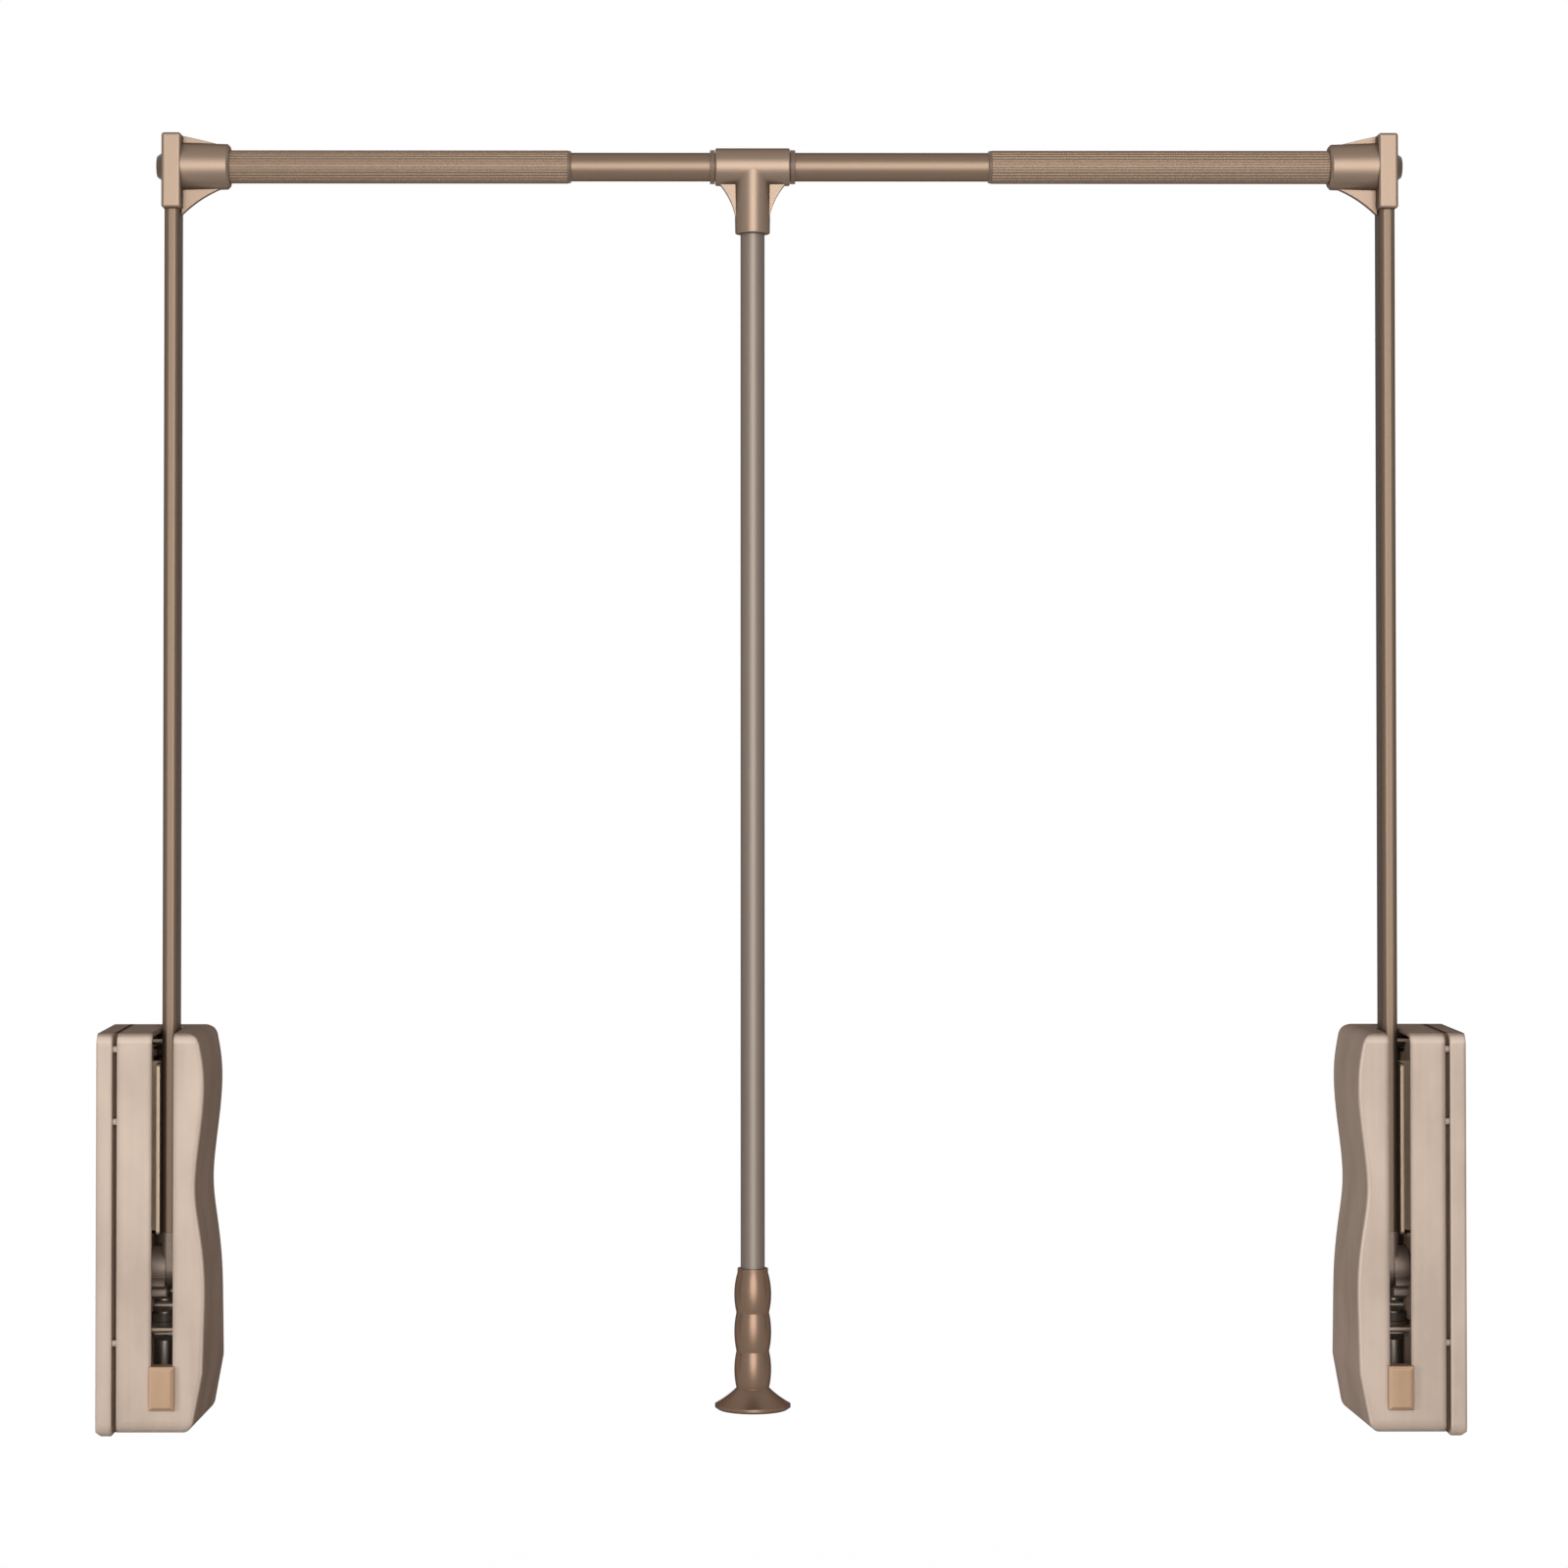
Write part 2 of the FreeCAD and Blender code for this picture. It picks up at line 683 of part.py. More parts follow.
def tooth(centre_angle):
    """One involute tooth in the y-z plane about the pivot, pulled out along x."""
    pressure = math.radians(pressure_deg)
    base_r = pitch_r * math.cos(pressure)
    half_at_pitch = math.pi / 2 / gear_teeth - flank_gap / pitch_r
    radii = [base_r + (tip_r - base_r) * share for share in flank_shares]
    half_angles = [half_at_pitch + involute(pressure) - involute(math.acos(base_r / r)) for r in radii]

    def at(radius, angle):
        return Vec(0, radius * math.cos(angle), pivot_z + radius * math.sin(angle))

    left = [at(r, centre_angle - a) for r, a in zip(radii, half_angles)]
    right = [at(r, centre_angle + a) for r, a in zip(radii, half_angles)]
    foot_r = root_r - gear_module / 2
    left_foot = at(foot_r, centre_angle - half_angles[0])
    right_foot = at(foot_r, centre_angle + half_angles[0])
    left_flank = Part.BSplineCurve()
    left_flank.interpolate(left)
    right_flank = Part.BSplineCurve()
    right_flank.interpolate(right)
    edges = [Part.makeLine(left_foot, left[0]), left_flank.toShape()]
    edges.append(Part.Arc(left[-1], at(tip_r, centre_angle), right[-1]).toShape())
    edges += [right_flank.toShape(), Part.makeLine(right[0], right_foot)]
    edges.append(Part.makeLine(right_foot, left_foot))
    face = Part.Face(Part.Wire(Part.__sortEdges__(edges)))
    face.translate(Vec(rod_x_at - gear_w / 2, 0, 0))
    return face.extrude(Vec(gear_w, 0, 0))


def arm_foot():
    x0 = wall_to_arm - arm_w / 2
    x1 = wall_to_arm + arm_w / 2
    shoulder_z = pivot_z + foot_shoulder
    foot = arm_bar(arm_w, arm_d, arm_corner_r, pivot_z, shoulder_z)
    foot = foot.fuse(bar_x(x0, x1, arm_d, 0, pivot_z))
    foot = foot.fuse(bar_x(hub_x0, hub_x1, 2 * hub_r, 0, pivot_z))
    foot = foot.fuse(bar_x(rod_x_at - gear_w / 2, rod_x_at + gear_w / 2, 2 * root_r, 0, pivot_z))
    step = 2 * math.pi / gear_teeth
    foot = foot.fuse([tooth(-step * k) for k in range(first_tooth, last_tooth + 1)])
    inner_w = arm_w - 2 * arm_wall - 2 * seat_gap
    inner_d = arm_d - 2 * arm_wall - 2 * seat_gap
    inner_r = arm_corner_r - arm_wall
    tongue_z = shoulder_z + tongue_length
    tongue = arm_bar(inner_w, inner_d, inner_r, shoulder_z - overrun, tongue_z)
    tongue = bevel_where(tongue, tongue_chamfer, lambda edge: lies_at(edge, 2, tongue_z))
    foot = foot.fuse(tongue)
    return foot.cut(bore_x(hub_x0, hub_x1, bush_d, 0, pivot_z)).removeSplitter()


def arm():
    z0 = pivot_z + foot_shoulder
    z1 = rail_z + bracket_rise - arm_top_wall
    outside = arm_bar(arm_w, arm_d, arm_corner_r, z0, z1)
    inner_w = arm_w - 2 * arm_wall
    inner_d = arm_d - 2 * arm_wall
    tube = outside.cut(arm_bar(inner_w, inner_d, arm_corner_r - arm_wall, z0 - overrun, z1 + overrun))
    return tube.cut(bar_x(bracket_x0, bracket_x1, bolt_d + 2 * slide_gap, 0, rail_z))


# Rack rod, its guide, spring and damper
def rack_rod():
    rod = bar_z(rod_bottom_z, rod_shoulder_z, rod_d, rod_x_at, rod_y_at)
    rod = bevel_where(rod, rod_chamfer, lambda edge: lies_at(edge, 2, rod_bottom_z))
    stem = bar_z(rod_shoulder_z, stem_top_z, stem_d, rod_x_at, rod_y_at)
    stem = bevel_where(stem, rod_chamfer, lambda edge: lies_at(edge, 2, stem_top_z))
    rod = rod.fuse(stem)
    slope = math.tan(math.radians(pressure_deg))
    y_tip = pitch_r - addendum_share * gear_module - overrun
    y_root = pitch_r + dedendum_share * gear_module
    half_at_pitch = tooth_pitch / 4 + flank_gap
    half_tip = half_at_pitch + (pitch_r - y_tip) * slope
    half_root = half_at_pitch - (y_root - pitch_r) * slope
    for k in range(first_tooth, last_tooth + 1):
        z = pivot_z - k * tooth_pitch
        space = [
            Vec(rod_x_at, y_tip, z - half_tip),
            Vec(rod_x_at, y_root, z - half_root),
            Vec(rod_x_at, y_root, z + half_root),
            Vec(rod_x_at, y_tip, z + half_tip),
        ]
        rod = rod.cut(plate_shape(space, Vec(1, 0, 0), rod_d + overrun))
    return rod


def rod_guide():
    z0 = low_shelf_top_z - sheet_t
    z1 = low_shelf_top_z + guide_bush_rise
    flange_z1 = low_shelf_top_z + guide_flange_t
    guide = bar_z(z0, z1, guide_bush_d, rod_x_at, rod_y_at)
    guide = guide.fuse(bar_z(low_shelf_top_z, flange_z1, guide_flange_d, rod_x_at, rod_y_at))
    return guide.cut(bore_z(z0, z1, rod_d + 2 * running_gap, rod_x_at, rod_y_at))


def spring_collar():
    return tube_z(rod_shoulder_z, collar_top_z, collar_d, stem_d + 2 * seat_gap, rod_x_at, rod_y_at)


def rest_buffer():
    z1 = rod_shoulder_z - buffer_gap
    return tube_z(mid_shelf_top_z, z1, collar_d, rod_d + 2 * slide_gap + free_gap, rod_x_at, rod_y_at)


def spring_guide():
    shelf_z = chassis_rise - sheet_t
    z0 = seat_bottom_z - sleeve_length
    z1 = shelf_z + spigot_h
    seat = bar_z(seat_bottom_z, shelf_z, seat_d, rod_x_at, rod_y_at)
    guide = seat.fuse(bar_z(z0, z1, sleeve_d, rod_x_at, rod_y_at))
    return guide.cut(bore_z(z0, z1, stem_d + 2 * slide_gap, rod_x_at, rod_y_at))


def arc_from(start, tangent, end):
    """The arc that leaves a point along a tangent and ends at another point."""
    chord = end - start
    side = chord - tangent * chord.dot(tangent)
    side.normalize()
    radius = chord.dot(chord) / (2 * chord.dot(side))
    centre = start + side * radius
    outward = (start + end) * (1 / 2) - centre
    outward.normalize()
    return Part.Arc(start, centre + outward * radius, end).toShape()


def biarc(start, tangent_a, end, tangent_b):
    """Two arcs with a common tangent that join two points and their tangents."""
    chord = end - start
    spread = 1 - tangent_a.dot(tangent_b)
    lean = chord.dot(tangent_a + tangent_b)
    reach = (math.sqrt(lean * lean + 2 * spread * chord.dot(chord)) - lean) / (2 * spread)
    meet = (start + end + (tangent_a - tangent_b) * reach) * (1 / 2)
    first = arc_from(start, tangent_a, meet)
    second = arc_from(end, tangent_b * -1, meet)
    return [first, second]


def lift_spring():
    """An open coil whose two wire ends turn along the axis and stand square on their seats."""
    z0 = collar_top_z
    z1 = seat_bottom_z
    radius = coil_d / 2
    bend = wire_d * 2
    rise = z1 - z0 - 2 * (wire_d + bend)
    turns = round(rise / coil_pitch)
    climb = rise / (2 * math.pi * turns)

    def point(angle):
        z = z0 + wire_d + bend + climb * angle
        return Vec(rod_x_at + radius * math.cos(angle), rod_y_at + radius * math.sin(angle), z)

    def heading(angle):
        tangent = Vec(-radius * math.sin(angle), radius * math.cos(angle), climb)
        tangent.normalize()
        return tangent

    quarter = math.pi / 2
    steps = turns * 4
    up = Vec(0, 0, 1)
    lead_in = point(0) - heading(0) * bend - up * bend
    lead_out = point(steps * quarter) + heading(steps * quarter) * bend + up * bend
    low_end = Vec(lead_in.x, lead_in.y, z0)
    high_end = Vec(lead_out.x, lead_out.y, z1)
    edges = [Part.makeLine(low_end, lead_in)]
    edges += biarc(lead_in, up, point(0), heading(0))
    for k in range(steps):
        a = k * quarter
        edges += biarc(point(a), heading(a), point(a + quarter), heading(a + quarter))
    edges += biarc(point(steps * quarter), heading(steps * quarter), lead_out, up)
    edges.append(Part.makeLine(lead_out, high_end))
    path = Part.Wire(edges)
    section = Part.Wire(Part.makeCircle(wire_d / 2, low_end, up))
    spring = path.makePipeShell([section], True, False)
    samples = path.discretize(Number=steps * 6)
    apart = steps * 6 // turns // 2
    pairs = [(a, b) for i, a in enumerate(samples) for b in samples[i + apart :]]
    gap = min((a - b).Length for a, b in pairs) - wire_d
    print("lift spring:", turns, "turns, least gap to itself", round(gap, 2), "mm")
    return Part.Solid(spring) if spring.ShapeType == "Shell" else spring


def damper_cylinder():
    z0 = low_shelf_top_z
    z1 = z0 + damper_length
    body = bar_z(z0, z1, damper_d, damper_x, damper_y)
    body = body.fuse(bar_z(z0 - sheet_t, z0, damper_neck_d, damper_x, damper_y))
    bore = damper_d - 2 * damper_wall
    body = body.cut(bar_z(z0 + damper_end, z1 - damper_end, bore, damper_x, damper_y))
    rod_hole = piston_rod_d + 2 * running_gap
    return body.cut(bore_z(z0 - sheet_t, z0 + damper_end, rod_hole, damper_x, damper_y))


def damper_piston():
    z = low_shelf_top_z + damper_end + piston_rise
    bore = damper_d - 2 * damper_wall
    head = bar_z(z, z + piston_t, bore - 2 * slide_gap, damper_x, damper_y)
    return head.fuse(bar_z(rod_bottom_z, z, piston_rod_d, damper_x, damper_y))


def damper_yoke():
    near_r = piston_rod_d / 2 + yoke_wall
    far_r = rod_d / 2 + yoke_wall
    z0 = rod_bottom_z
    z1 = rod_bottom_z + yoke_t
    yoke = bar_z(z0, z1, 2 * near_r, damper_x, damper_y)
    yoke = yoke.fuse(bar_z(z0, z1, 2 * far_r, rod_x_at, rod_y_at))
    near = Vec(damper_x, damper_y, (z0 + z1) / 2)
    far = Vec(rod_x_at, rod_y_at, (z0 + z1) / 2)
    across = (near - far).cross(Vec(0, 0, 1))
    across.normalize()
    across = across * near_r
    corners = [near + across, far + across, far - across, near - across]
    yoke = yoke.fuse(plate_shape(corners, Vec(0, 0, 1), yoke_t)).removeSplitter()
    yoke = yoke.cut(bore_z(z0, z1, rod_d + 2 * seat_gap, rod_x_at, rod_y_at))
    return yoke.cut(bore_z(z0, z1, piston_rod_d + 2 * seat_gap, damper_x, damper_y))


# Rail bracket, bolt and plug
def rail_bracket():
    z0 = rail_z - bracket_drop
    z1 = rail_z + bracket_rise
    block = box(bracket_x0, bracket_x1, -bracket_d / 2, bracket_d / 2, z0, z1)
    block = round_where(block, bracket_edge_r, lambda edge: True)
    barrel = cone_x(bracket_x1, barrel_x1, barrel_root_d, barrel_mouth_d, 0, rail_z)
    barrel = bevel_where(barrel, barrel_chamfer, lambda edge: lies_at(edge, 0, barrel_x1))
    root = bar_x(bracket_x1 - bracket_edge_r, bracket_x1, barrel_root_d, 0, rail_z)
    along = Vec(barrel_length - web_tip_inset + web_sink, 0, 0)
    low_corner = Vec(bracket_x1 - web_sink, 0, rail_z - barrel_mouth_d / 2 + barrel_chamfer)
    low_side = Vec(0, 0, rail_z - web_root_drop - low_corner.z)
    low_web = gusset(low_corner, along, low_side, web_sag_share, web_t)
    high_corner = Vec(bracket_x1 - web_sink, 0, rail_z + barrel_mouth_d / 2 - barrel_chamfer)
    high_side = Vec(0, 0, rail_z + crown_rise - high_corner.z)
    high_web = gusset(high_corner, along, high_side, crown_sag_share, web_t)
    bracket = block.fuse([barrel, root, low_web, high_web])
    socket_top = z1 - arm_top_wall + seat_gap
    socket = arm_bar(arm_w + 2 * seat_gap, arm_d + 2 * seat_gap, arm_corner_r, z0 - overrun, socket_top)
    bracket = bracket.cut(socket)
    bracket = bracket.cut(bore_x(bracket_x0, tube_x0, bolt_d + 2 * seat_gap, 0, rail_z))
    tube_socket = bar_x(tube_x0, barrel_x1 + overrun, outer_tube_d + 2 * seat_gap, 0, rail_z)
    return bracket.cut(tube_socket).removeSplitter()


def rail_bolt():
    x0 = bracket_x0 - bolt_head_t
    head = cone_x(x0, bracket_x0, bolt_face_d, bolt_head_d, 0, rail_z)
    head = round_where(head, bolt_head_r, lambda edge: lies_at(edge, 0, x0))
    bolt = head.fuse(bar_x(bracket_x0, bracket_x0 + bolt_length, bolt_d, 0, rail_z))
    corner_r = hex_af / math.sqrt(3)
    turns = [k * math.pi / 3 for k in range(6)]
    corners = [Vec(x0, corner_r * math.cos(a), rail_z + corner_r * math.sin(a)) for a in turns]
    return bolt.cut(plate_shape(corners, Vec(1, 0, 0), 2 * hex_depth))


def end_plug():
    return tube_x(plug_x0, plug_x1, outer_tube_bore - 2 * seat_gap, bolt_d + 2 * seat_gap, 0, rail_z)


# Telescopic rail
def outer_tube():
    x0 = plug_x0
    radius = outer_tube_d / 2
    step = 2 * math.pi / flute_count

    def at(r, angle):
        return Vec(x0, r * math.cos(angle), rail_z + r * math.sin(angle))

    edges = []
    for k in range(flute_count):
        a = k * step
        b = a + step * flute_land_share
        c = a + step
        edges.append(Part.Arc(at(radius, a), at(radius, (a + b) / 2), at(radius, b)).toShape())
        floor = at(radius - flute_depth, (b + c) / 2)
        edges.append(Part.Arc(at(radius, b), floor, at(radius, c)).toShape())
    profile = Part.Face(Part.Wire(edges)).extrude(Vec(tube_x1 - x0, 0, 0))
    return profile.cut(bore_x(x0, tube_x1, outer_tube_bore, 0, rail_z))


def tube_bush():
    bore = inner_tube_d + 2 * running_gap
    lip = bar_x(tube_x1, tube_x1 + mouth_lip_t, mouth_lip_d, 0, rail_z)
    lip = round_where(lip, mouth_lip_t / 2, lambda edge: lies_at(edge, 0, tube_x1 + mouth_lip_t))
    x0 = tube_x1 - mouth_sleeve_length
    sleeve = bar_x(x0, tube_x1, outer_tube_bore - running_gap, 0, rail_z)
    return lip.fuse(sleeve).cut(bore_x(x0, tube_x1 + mouth_lip_t, bore, 0, rail_z))


def inner_tube():
    return tube_x(inner_x0, inner_x1, inner_tube_d, inner_tube_d - 2 * inner_tube_wall, 0, rail_z)


def inner_tube_glides():
    head_d = outer_tube_bore - 2 * running_gap
    plug_d = inner_tube_d - 2 * inner_tube_wall - seat_gap
    left_head = bar_x(inner_x0 - glide_t, inner_x0, head_d, 0, rail_z)
    left_plug = bar_x(inner_x0, inner_x0 + glide_plug_length, plug_d, 0, rail_z)
    right_head = bar_x(inner_x1, inner_x1 + glide_t, head_d, 0, rail_z)
    right_plug = bar_x(inner_x1 - glide_plug_length, inner_x1, plug_d, 0, rail_z)
    return Part.makeCompound([left_head.fuse(left_plug), right_head.fuse(right_plug)])


def tee_collars():
    reach = tee_length / 2 + slide_gap
    bore = inner_tube_d + seat_gap
    return Part.makeCompound(
        [
            tube_x(tee_x - reach - tee_collar_w, tee_x - reach, tee_collar_d, bore, 0, rail_z),
            tube_x(tee_x + reach, tee_x + reach + tee_collar_w, tee_collar_d, bore, 0, rail_z),
        ]
    )


# Tee, pull rod and grip
def tee():
    half = tee_length / 2
    x0 = tee_x - half
    x1 = tee_x + half
    barrel = bar_x(x0, x1, tee_d, 0, rail_z)
    barrel = round_where(barrel, tee_edge_r, lambda edge: lies_at(edge, 0, x0) or lies_at(edge, 0, x1))
    end_z = rail_z - stem_drop
    stem = Part.makeCone(stem_end_d / 2, stem_root_d / 2, stem_drop, Vec(tee_x, 0, end_z), Vec(0, 0, 1))
    stem = round_where(stem, tee_edge_r, lambda edge: lies_at(edge, 2, end_z))
    corner_z = rail_z - tee_d / 2 + 2 * tee_edge_r
    down = Vec(0, 0, rail_z - tee_web_drop - corner_z)
    inner = stem_end_d / 2 - tee_edge_r
    webs = []
    for side in (-1, 1):
        along = Vec(side * (half - 2 * tee_edge_r - inner), 0, 0)
        corner = Vec(tee_x + side * inner, 0, corner_z)
        webs.append(gusset(corner, along, down, tee_web_sag_share, tee_web_t))
    body = barrel.fuse([stem] + webs)
    body = body.cut(bore_x(x0, x1, tee_bush_d + seat_gap, 0, rail_z))
    seat_top = end_z + pull_rod_seat + seat_gap
    return body.cut(bar_z(end_z - overrun, seat_top, pull_rod_d + 2 * seat_gap, tee_x, 0)).removeSplitter()


def tee_bush():
    half = tee_length / 2
    return tube_x(tee_x - half, tee_x + half, tee_bush_d, inner_tube_d + 2 * running_gap, 0, rail_z)


def pull_rod():
    z0 = grip_top_z - grip_socket
    z1 = rail_z - stem_drop + pull_rod_seat
    return tube_z(z0, z1, pull_rod_d, pull_rod_d - 2 * pull_rod_wall, tee_x, 0)


def grip():
    """A turned handle: three swelling stretches that meet in creases, then a flared foot."""

    def at(diameter, below):
        return Vec(tee_x + diameter / 2, 0, grip_top_z - below)

    top = Vec(tee_x, 0, grip_top_z)
    marks = [grip_lip_share * grip_length] + [share * grip_length for share in grip_neck_shares]
    necks = [grip_lip_d] + [grip_neck_d] * len(grip_neck_shares)
    lip = at(grip_lip_d, 0)
    edges = [Part.makeLine(top, lip), Part.makeLine(lip, at(grip_lip_d, marks[0]))]
    for k in range(len(marks) - 1):
        middle = (marks[k] + marks[k + 1]) / 2
        swell = Part.Arc(at(necks[k], marks[k]), at(grip_bulge_d, middle), at(necks[k + 1], marks[k + 1]))
        edges.append(swell.toShape())
    rim_top = at(grip_flare_d, grip_length - grip_bevel - grip_rim_t)
    rim_low = at(grip_flare_d, grip_length - grip_bevel)
    base_edge = at(grip_base_d, grip_length)
    neck = at(grip_neck_d, marks[-1])
    flare = rim_top - neck
    hollow = neck + Vec(flare.x * grip_flare_x_share, 0, flare.z * grip_flare_z_share)
    edges.append(Part.Arc(neck, hollow, rim_top).toShape())
    edges.append(Part.makeLine(rim_top, rim_low))
    base = at(0, grip_length)
    edges += [Part.makeLine(rim_low, base_edge), Part.makeLine(base_edge, base), Part.makeLine(base, top)]
    handle = Part.Face(Part.Wire(edges)).revolve(top, Vec(0, 0, 1), 360)
    socket_d = pull_rod_d + 2 * seat_gap
    return handle.cut(bar_z(grip_top_z - grip_socket - seat_gap, grip_top_z + overrun, socket_d, tee_x, 0))


def mirrored(shape):
    return shape.mirror(Vec(middle_x, 0, 0), Vec(1, 0, 0))


side_pieces = [
    mounting_plate,
    housing_cover,
    chassis,
    arm_guide,
    pivot_pin,
    pivot_circlip,
    pivot_spacers,
    rod_guide,
    lift_spring,
    spring_guide,
    rest_buffer,
    damper_cylinder,
    stop_block,
    cover_screws,
    rack_rod,
    spring_collar,
    damper_yoke,
    damper_piston,
    arm,
    arm_foot,
    foot_bushes,
    rail_bracket,
    rail_bolt,
    end_plug,
    outer_tube,
    tube_bush,
]
middle_pieces = [inner_tube, inner_tube_glides, tee_collars, tee, tee_bush, pull_rod, grip]

os.makedirs("parts", exist_ok=True)
for make in side_pieces:
    piece = make()
    piece.exportStep("parts/left_" + make.__name__ + ".step")
    mirrored(piece).exportStep("parts/right_" + make.__name__ + ".step")
for make in middle_pieces:
    make().exportStep("parts/" + make.__name__ + ".step")
print("rack travel", round(rack_travel, 3), "mm; stop block top", round(stop_top_z, 2))
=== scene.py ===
# %% [markdown]
# # Dressing a pull-down wardrobe rail
# The solid model arrives as a fixed frame: every tube, casting and housing is already at its real size.
# This lesson gives each surface its finish, winds the lift springs anew with closed end turns,
# and sets up the studio.
# Everything is in metres, in the solid model's own frame: x runs from wall to wall, the front is -y
# and z is up.

import json
import math

import bpy
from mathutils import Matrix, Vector


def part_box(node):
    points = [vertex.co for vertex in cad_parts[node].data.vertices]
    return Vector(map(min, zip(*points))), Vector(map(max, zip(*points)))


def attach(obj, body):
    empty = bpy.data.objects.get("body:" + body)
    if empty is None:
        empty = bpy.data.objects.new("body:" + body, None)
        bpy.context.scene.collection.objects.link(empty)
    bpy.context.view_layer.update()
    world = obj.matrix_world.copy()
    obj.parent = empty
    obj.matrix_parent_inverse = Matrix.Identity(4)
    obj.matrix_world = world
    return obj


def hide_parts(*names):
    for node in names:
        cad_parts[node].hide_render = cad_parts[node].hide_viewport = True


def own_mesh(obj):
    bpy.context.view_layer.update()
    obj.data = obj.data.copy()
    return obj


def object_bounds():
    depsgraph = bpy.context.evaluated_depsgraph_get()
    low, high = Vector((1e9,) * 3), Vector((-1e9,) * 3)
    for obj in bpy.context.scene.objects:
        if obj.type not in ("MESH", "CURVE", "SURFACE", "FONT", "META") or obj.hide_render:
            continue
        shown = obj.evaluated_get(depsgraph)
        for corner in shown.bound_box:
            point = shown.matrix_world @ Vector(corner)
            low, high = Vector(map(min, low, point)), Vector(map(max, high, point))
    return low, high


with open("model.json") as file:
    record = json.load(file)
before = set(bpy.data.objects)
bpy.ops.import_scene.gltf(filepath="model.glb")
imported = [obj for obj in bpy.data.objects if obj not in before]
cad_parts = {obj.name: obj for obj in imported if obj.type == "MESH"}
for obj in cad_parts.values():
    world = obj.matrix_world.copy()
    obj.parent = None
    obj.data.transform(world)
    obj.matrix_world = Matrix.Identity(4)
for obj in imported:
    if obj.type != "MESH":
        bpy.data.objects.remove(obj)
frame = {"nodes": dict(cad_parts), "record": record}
cad_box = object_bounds()
nodes = frame["nodes"]
mm = 0.001
print("nodes in the frame:", len(nodes))

# %% [markdown]
# ## Colour and light
# The camera's picture could be shown with a film curve, which softens highlights but shifts every colour.
# Here it is shown without one, so that a colour renders about as it is written.

# %% Plain view of colours
bpy.context.scene.view_settings.view_transform = "Standard"
print("colours are shown as:", bpy.context.scene.view_settings.view_transform)


# %% [markdown]
# ## Finishes
# Every finish on the rail is a small node tree around one Principled shader. It could be put together
# by hand in the shader editor, but the same few nodes come back in every finish, so short helpers add them.
# The first one starts a tree, and the second adds a node with its settings.

# %% Start a node tree
def new_finish(name):
    finish = bpy.data.materials.new(name)
    finish.use_nodes = True
    return finish, finish.node_tree, finish.node_tree.nodes["Principled BSDF"]


def add_node(tree, kind, **settings):
    node = tree.nodes.new(kind)
    for name, value in settings.items():
        setattr(node, name, value)
    return node


print("materials that came with the frame:", len(bpy.data.materials))

# %% [markdown]
# ### Grain and tones
# Metal is grained and paint is cloudy. A picture could be laid over the pieces, but it would show seams,
# so a noise texture is used. It reads Object coordinates: the nodes sit at the origin, so the pattern has
# the same scale, in features per metre, on every piece. A small factor draws it out along an axis.
# Two more helpers turn the pattern into a run of colours, or into a run of numbers such as the gloss.

# %% Noise, colours and numbers
even = (1, 1, 1)
along_x = (0.03, 1, 1)
along_z = (1, 1, 0.03)


def noise_of(tree, per_metre, detail, stretch=even):
    place = add_node(tree, "ShaderNodeTexCoord")
    mapping = add_node(tree, "ShaderNodeMapping")
    mapping.inputs["Scale"].default_value = stretch
    noise = add_node(tree, "ShaderNodeTexNoise")
    noise.inputs["Scale"].default_value = per_metre
    noise.inputs["Detail"].default_value = detail
    tree.links.new(place.outputs["Object"], mapping.inputs["Vector"])
    tree.links.new(mapping.outputs["Vector"], noise.inputs["Vector"])
    return noise.outputs["Fac"]


def ramp_of(tree, source, low, high, start=0.3, stop=0.7):
    """Goes from one colour to another while the source goes from start to stop."""
    ramp = add_node(tree, "ShaderNodeValToRGB")
    first, last = ramp.color_ramp.elements
    first.position = start
    last.position = stop
    first.color = (*low, 1)
    last.color = (*high, 1)
    tree.links.new(source, ramp.inputs["Fac"])
    return ramp.outputs["Color"]


def range_of(tree, source, low, high, start=0, stop=1):
    """Goes from one number to another while the source goes from start to stop."""
    span = add_node(tree, "ShaderNodeMapRange")
    span.inputs["From Min"].default_value = start
    span.inputs["From Max"].default_value = stop
    span.inputs["To Min"].default_value = low
    span.inputs["To Max"].default_value = high
    tree.links.new(source, span.inputs["Value"])
    return span.outputs["Result"]


print("a tube's grain is drawn out", round(1 / along_z[2]), "times")

# %% [markdown]
# ### Relief
# The grain can also be felt, and real edges are never quite sharp. Grain is far too fine to model,
# so a Bump node lets it stand out, and a Bevel node under it lets edges shine as if they were rounder.

# %% Relief on rounded edges
fine_edge_r = 0.5 * mm
edge_samples = 6


def relief(tree, shader, source, depth, edge_r=fine_edge_r):
    edges = add_node(tree, "ShaderNodeBevel", samples=edge_samples)
    edges.inputs["Radius"].default_value = edge_r
    bump = add_node(tree, "ShaderNodeBump")
    bump.inputs["Strength"].default_value = 1
    bump.inputs["Distance"].default_value = depth
    tree.links.new(edges.outputs["Normal"], bump.inputs["Normal"])
    tree.links.new(source, bump.inputs["Height"])
    tree.links.new(bump.outputs["Normal"], shader.inputs["Normal"])


print("fine edges shine as if rounded by", fine_edge_r / mm, "mm")


# %% [markdown]
# ### Plain metals
# Inside the housings are zinc-plated sheet, ground steel, spring wire and a toothed foot of sintered steel,
# and on the rail are dark bronze bolts. One colour all over would look like plastic. A grain that changes
# colour and gloss together looks handled, and it is the same recipe for all of them, so a table lists
# only what differs.

# %% Plain metals
def shade(colour, factor):
    return tuple(c * factor for c in colour)


